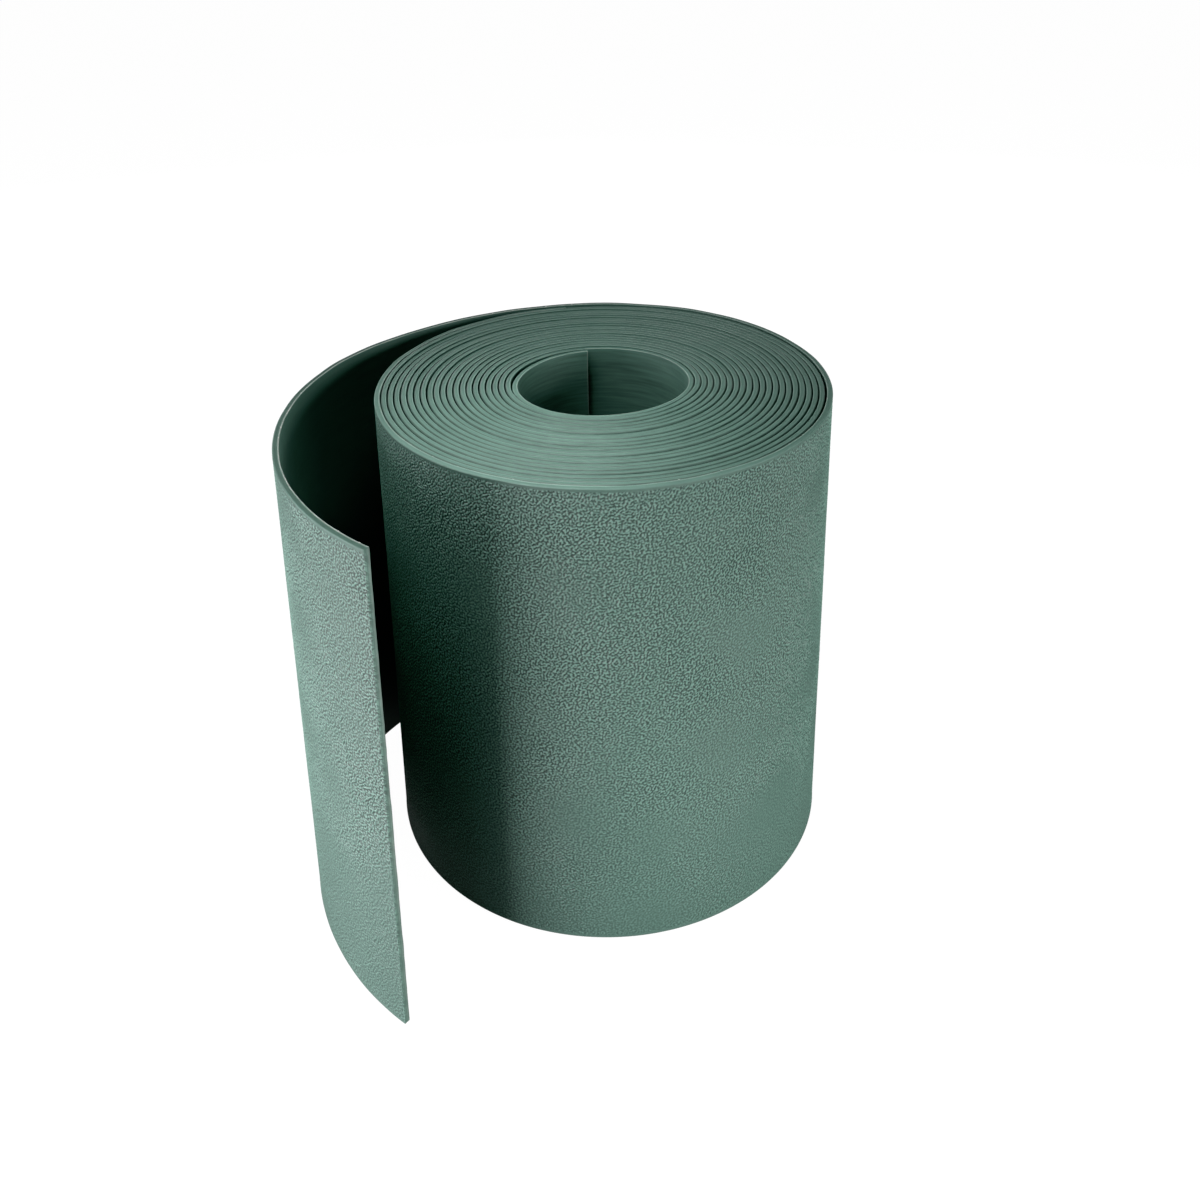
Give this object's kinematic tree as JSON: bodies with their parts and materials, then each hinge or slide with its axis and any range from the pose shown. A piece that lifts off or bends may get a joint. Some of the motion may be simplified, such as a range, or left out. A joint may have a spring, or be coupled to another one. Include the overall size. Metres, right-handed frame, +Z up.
{
  "type": "lawn edging roll",
  "caption": "Standing roll of solid plastic garden edging strip with an open core, a sprung inner end and a free outer tail that unrolls.",
  "frame": {"origin": "axis of the coil at the base plane it stands on", "axes": "+Z up along the coil axis, +Y towards the side where the tail leaves the coil, +X to the right seen from the front; the tail comes round the -X side to the front"},
  "size_m": [0.2584, 0.268, 0.235],
  "materials": {
    "strip": "dull green polyethylene, pebble grain outside, smooth inside"
  },
  "bodies": {
    "turn_22": {"turn_22": "strip"},
    "turn_21": {"turn_21": "strip"},
    "turn_20": {"turn_20": "strip"},
    "turn_19": {"turn_19": "strip"},
    "turn_18": {"turn_18": "strip"},
    "turn_17": {"turn_17": "strip"},
    "turn_16": {"turn_16": "strip"},
    "turn_15": {"turn_15": "strip"},
    "turn_14": {"turn_14": "strip"},
    "turn_13": {"turn_13": "strip"},
    "turn_12": {"turn_12": "strip"},
    "turn_11": {"turn_11": "strip"},
    "turn_10": {"turn_10": "strip"},
    "turn_09": {"turn_09": "strip"},
    "turn_08": {"turn_08": "strip"},
    "turn_07": {"turn_07": "strip"},
    "turn_06": {"turn_06": "strip"},
    "turn_05": {"turn_05": "strip"},
    "turn_04": {"turn_04": "strip"},
    "turn_03": {"turn_03": "strip"},
    "turn_02": {"turn_02": "strip"},
    "turn_01": {"turn_01": "strip"},
    "core_end_1": {"core_end_1": "strip"},
    "core_end_2": {"core_end_2": "strip"},
    "core_end_3": {"core_end_3": "strip"},
    "core_end_4": {"core_end_4": "strip"},
    "tail_01": {"tail_01": "strip"},
    "tail_02": {"tail_02": "strip"},
    "tail_03": {"tail_03": "strip"},
    "tail_04": {"tail_04": "strip"},
    "tail_05": {"tail_05": "strip"},
    "tail_06": {"tail_06": "strip"},
    "tail_07": {"tail_07": "strip"},
    "tail_08": {"tail_08": "strip"},
    "tail_09": {"tail_09": "strip"},
    "tail_10": {"tail_10": "strip"},
    "tail_11": {"tail_11": "strip"},
    "tail_12": {"tail_12": "strip"},
    "tail_13": {"tail_13": "strip"},
    "tail_14": {"tail_14": "strip"},
    "tail_15": {"tail_15": "strip"},
    "tail_16": {"tail_16": "strip"},
    "tail_17": {"tail_17": "strip"},
    "tail_18": {"tail_18": "strip"},
    "tail_19": {"tail_19": "strip"},
    "tail_20": {"tail_20": "strip"}
  },
  "joints": [
    {"name": "tail_flex_01", "type": "hinge", "parent": "turn_22", "child": "tail_01", "pos_m": [0.00846, 0.11089, 0.1175], "axis": [0, 0, -1], "range_deg": [0, 3.9]},
    {"name": "tail_flex_02", "type": "hinge", "parent": "tail_01", "child": "tail_02", "pos_m": [-0.01032, 0.11102, 0.1175], "axis": [0, 0, -1], "range_deg": [0, 4.2]},
    {"name": "tail_flex_03", "type": "hinge", "parent": "tail_02", "child": "tail_03", "pos_m": [-0.0289, 0.10831, 0.1175], "axis": [0, 0, -1], "range_deg": [-2, 4.4]},
    {"name": "tail_flex_04", "type": "hinge", "parent": "tail_03", "child": "tail_04", "pos_m": [-0.04696, 0.10312, 0.1175], "axis": [0, 0, -1], "range_deg": [-3.2, 4.7]},
    {"name": "tail_flex_05", "type": "hinge", "parent": "tail_04", "child": "tail_05", "pos_m": [-0.06424, 0.09575, 0.1175], "axis": [0, 0, -1], "range_deg": [-3.2, 5.1]},
    {"name": "tail_flex_06", "type": "hinge", "parent": "tail_05", "child": "tail_06", "pos_m": [-0.08055, 0.08641, 0.1175], "axis": [0, 0, -1], "range_deg": [-2.8, 5.9]},
    {"name": "tail_flex_07", "type": "hinge", "parent": "tail_06", "child": "tail_07", "pos_m": [-0.09565, 0.07523, 0.1175], "axis": [0, 0, -1], "range_deg": [-2.4, 6.7]},
    {"name": "tail_flex_08", "type": "hinge", "parent": "tail_07", "child": "tail_08", "pos_m": [-0.10929, 0.06231, 0.1175], "axis": [0, 0, -1], "range_deg": [-2.2, 7.2]},
    {"name": "tail_flex_09", "type": "hinge", "parent": "tail_08", "child": "tail_09", "pos_m": [-0.12116, 0.04775, 0.1175], "axis": [0, 0, -1], "range_deg": [-1.8, 7.6]},
    {"name": "tail_flex_10", "type": "hinge", "parent": "tail_09", "child": "tail_10", "pos_m": [-0.13095, 0.03172, 0.1175], "axis": [0, 0, -1], "range_deg": [-1.5, 7.8]},
    {"name": "tail_flex_11", "type": "hinge", "parent": "tail_10", "child": "tail_11", "pos_m": [-0.13838, 0.01447, 0.1175], "axis": [0, 0, -1], "range_deg": [-1.4, 7.7]},
    {"name": "tail_flex_12", "type": "hinge", "parent": "tail_11", "child": "tail_12", "pos_m": [-0.14329, -0.00366, 0.1175], "axis": [0, 0, -1], "range_deg": [-1.5, 7.2]},
    {"name": "tail_flex_13", "type": "hinge", "parent": "tail_12", "child": "tail_13", "pos_m": [-0.14568, -0.0223, 0.1175], "axis": [0, 0, -1], "range_deg": [-2, 6.8]},
    {"name": "tail_flex_14", "type": "hinge", "parent": "tail_13", "child": "tail_14", "pos_m": [-0.14564, -0.04109, 0.1175], "axis": [0, 0, -1], "range_deg": [-2.3, 6.5]},
    {"name": "tail_flex_15", "type": "hinge", "parent": "tail_14", "child": "tail_15", "pos_m": [-0.14332, -0.05973, 0.1175], "axis": [0, 0, -1], "range_deg": [-2.6, 6.4]},
    {"name": "tail_flex_16", "type": "hinge", "parent": "tail_15", "child": "tail_16", "pos_m": [-0.13882, -0.07797, 0.1175], "axis": [0, 0, -1], "range_deg": [-2.6, 6.5]},
    {"name": "tail_flex_17", "type": "hinge", "parent": "tail_16", "child": "tail_17", "pos_m": [-0.13221, -0.09556, 0.1175], "axis": [0, 0, -1], "range_deg": [-2.4, 6.6]},
    {"name": "tail_flex_18", "type": "hinge", "parent": "tail_17", "child": "tail_18", "pos_m": [-0.12354, -0.11223, 0.1175], "axis": [0, 0, -1], "range_deg": [-2.3, 6.8]},
    {"name": "tail_flex_19", "type": "hinge", "parent": "tail_18", "child": "tail_19", "pos_m": [-0.11287, -0.12769, 0.1175], "axis": [0, 0, -1], "range_deg": [-2.1, 6.9]},
    {"name": "tail_flex_20", "type": "hinge", "parent": "tail_19", "child": "tail_20", "pos_m": [-0.10033, -0.14169, 0.1175], "axis": [0, 0, -1], "range_deg": [-2, 7]},
    {"name": "core_flex_1", "type": "hinge", "parent": "turn_01", "child": "core_end_1", "pos_m": [-0.03959, -0.01469, 0.1175], "axis": [0, 0, -1], "range_deg": [0, 8]},
    {"name": "core_flex_2", "type": "hinge", "parent": "core_end_1", "child": "core_end_2", "pos_m": [-0.04149, 0.00303, 0.1175], "axis": [0, 0, -1], "range_deg": [0, 8]},
    {"name": "core_flex_3", "type": "hinge", "parent": "core_end_2", "child": "core_end_3", "pos_m": [-0.03574, 0.01997, 0.1175], "axis": [0, 0, -1], "range_deg": [0, 8]},
    {"name": "core_flex_4", "type": "hinge", "parent": "core_end_3", "child": "core_end_4", "pos_m": [-0.02406, 0.03352, 0.1175], "axis": [0, 0, -1], "range_deg": [0, 8]},
    {"name": "turn_slide_21", "type": "slide", "parent": "turn_22", "child": "turn_21", "axis": [0, 0, 1], "range_m": [0, 0.004]},
    {"name": "turn_slide_20", "type": "slide", "parent": "turn_21", "child": "turn_20", "axis": [0, 0, 1], "range_m": [0, 0.004]},
    {"name": "turn_slide_19", "type": "slide", "parent": "turn_20", "child": "turn_19", "axis": [0, 0, 1], "range_m": [0, 0.004]},
    {"name": "turn_slide_18", "type": "slide", "parent": "turn_19", "child": "turn_18", "axis": [0, 0, 1], "range_m": [0, 0.004]},
    {"name": "turn_slide_17", "type": "slide", "parent": "turn_18", "child": "turn_17", "axis": [0, 0, 1], "range_m": [0, 0.004]},
    {"name": "turn_slide_16", "type": "slide", "parent": "turn_17", "child": "turn_16", "axis": [0, 0, 1], "range_m": [0, 0.004]},
    {"name": "turn_slide_15", "type": "slide", "parent": "turn_16", "child": "turn_15", "axis": [0, 0, 1], "range_m": [0, 0.004]},
    {"name": "turn_slide_14", "type": "slide", "parent": "turn_15", "child": "turn_14", "axis": [0, 0, 1], "range_m": [0, 0.004]},
    {"name": "turn_slide_13", "type": "slide", "parent": "turn_14", "child": "turn_13", "axis": [0, 0, 1], "range_m": [0, 0.004]},
    {"name": "turn_slide_12", "type": "slide", "parent": "turn_13", "child": "turn_12", "axis": [0, 0, 1], "range_m": [0, 0.004]},
    {"name": "turn_slide_11", "type": "slide", "parent": "turn_12", "child": "turn_11", "axis": [0, 0, 1], "range_m": [0, 0.004]},
    {"name": "turn_slide_10", "type": "slide", "parent": "turn_11", "child": "turn_10", "axis": [0, 0, 1], "range_m": [0, 0.004]},
    {"name": "turn_slide_09", "type": "slide", "parent": "turn_10", "child": "turn_09", "axis": [0, 0, 1], "range_m": [0, 0.004]},
    {"name": "turn_slide_08", "type": "slide", "parent": "turn_09", "child": "turn_08", "axis": [0, 0, 1], "range_m": [0, 0.004]},
    {"name": "turn_slide_07", "type": "slide", "parent": "turn_08", "child": "turn_07", "axis": [0, 0, 1], "range_m": [0, 0.004]},
    {"name": "turn_slide_06", "type": "slide", "parent": "turn_07", "child": "turn_06", "axis": [0, 0, 1], "range_m": [0, 0.004]},
    {"name": "turn_slide_05", "type": "slide", "parent": "turn_06", "child": "turn_05", "axis": [0, 0, 1], "range_m": [0, 0.004]},
    {"name": "turn_slide_04", "type": "slide", "parent": "turn_05", "child": "turn_04", "axis": [0, 0, 1], "range_m": [0, 0.004]},
    {"name": "turn_slide_03", "type": "slide", "parent": "turn_04", "child": "turn_03", "axis": [0, 0, 1], "range_m": [0, 0.004]},
    {"name": "turn_slide_02", "type": "slide", "parent": "turn_03", "child": "turn_02", "axis": [0, 0, 1], "range_m": [0, 0.004]},
    {"name": "turn_slide_01", "type": "slide", "parent": "turn_02", "child": "turn_01", "axis": [0, 0, 1], "range_m": [0, 0.004]}
  ],
  "couplings": [
    {"joint": "core_flex_2", "follows": "core_flex_1", "ratio": 1},
    {"joint": "core_flex_3", "follows": "core_flex_1", "ratio": 1},
    {"joint": "core_flex_4", "follows": "core_flex_1", "ratio": 1},
    {"joint": "turn_slide_20", "follows": "turn_slide_21", "ratio": 1},
    {"joint": "turn_slide_19", "follows": "turn_slide_21", "ratio": 1},
    {"joint": "turn_slide_18", "follows": "turn_slide_21", "ratio": 1},
    {"joint": "turn_slide_17", "follows": "turn_slide_21", "ratio": 1},
    {"joint": "turn_slide_16", "follows": "turn_slide_21", "ratio": 1},
    {"joint": "turn_slide_15", "follows": "turn_slide_21", "ratio": 1},
    {"joint": "turn_slide_14", "follows": "turn_slide_21", "ratio": 1},
    {"joint": "turn_slide_13", "follows": "turn_slide_21", "ratio": 1},
    {"joint": "turn_slide_12", "follows": "turn_slide_21", "ratio": 1},
    {"joint": "turn_slide_11", "follows": "turn_slide_21", "ratio": 1},
    {"joint": "turn_slide_10", "follows": "turn_slide_21", "ratio": 1},
    {"joint": "turn_slide_09", "follows": "turn_slide_21", "ratio": 1},
    {"joint": "turn_slide_08", "follows": "turn_slide_21", "ratio": 1},
    {"joint": "turn_slide_07", "follows": "turn_slide_21", "ratio": 1},
    {"joint": "turn_slide_06", "follows": "turn_slide_21", "ratio": 1},
    {"joint": "turn_slide_05", "follows": "turn_slide_21", "ratio": 1},
    {"joint": "turn_slide_04", "follows": "turn_slide_21", "ratio": 1},
    {"joint": "turn_slide_03", "follows": "turn_slide_21", "ratio": 1},
    {"joint": "turn_slide_02", "follows": "turn_slide_21", "ratio": 1},
    {"joint": "turn_slide_01", "follows": "turn_slide_21", "ratio": 1}
  ]
}
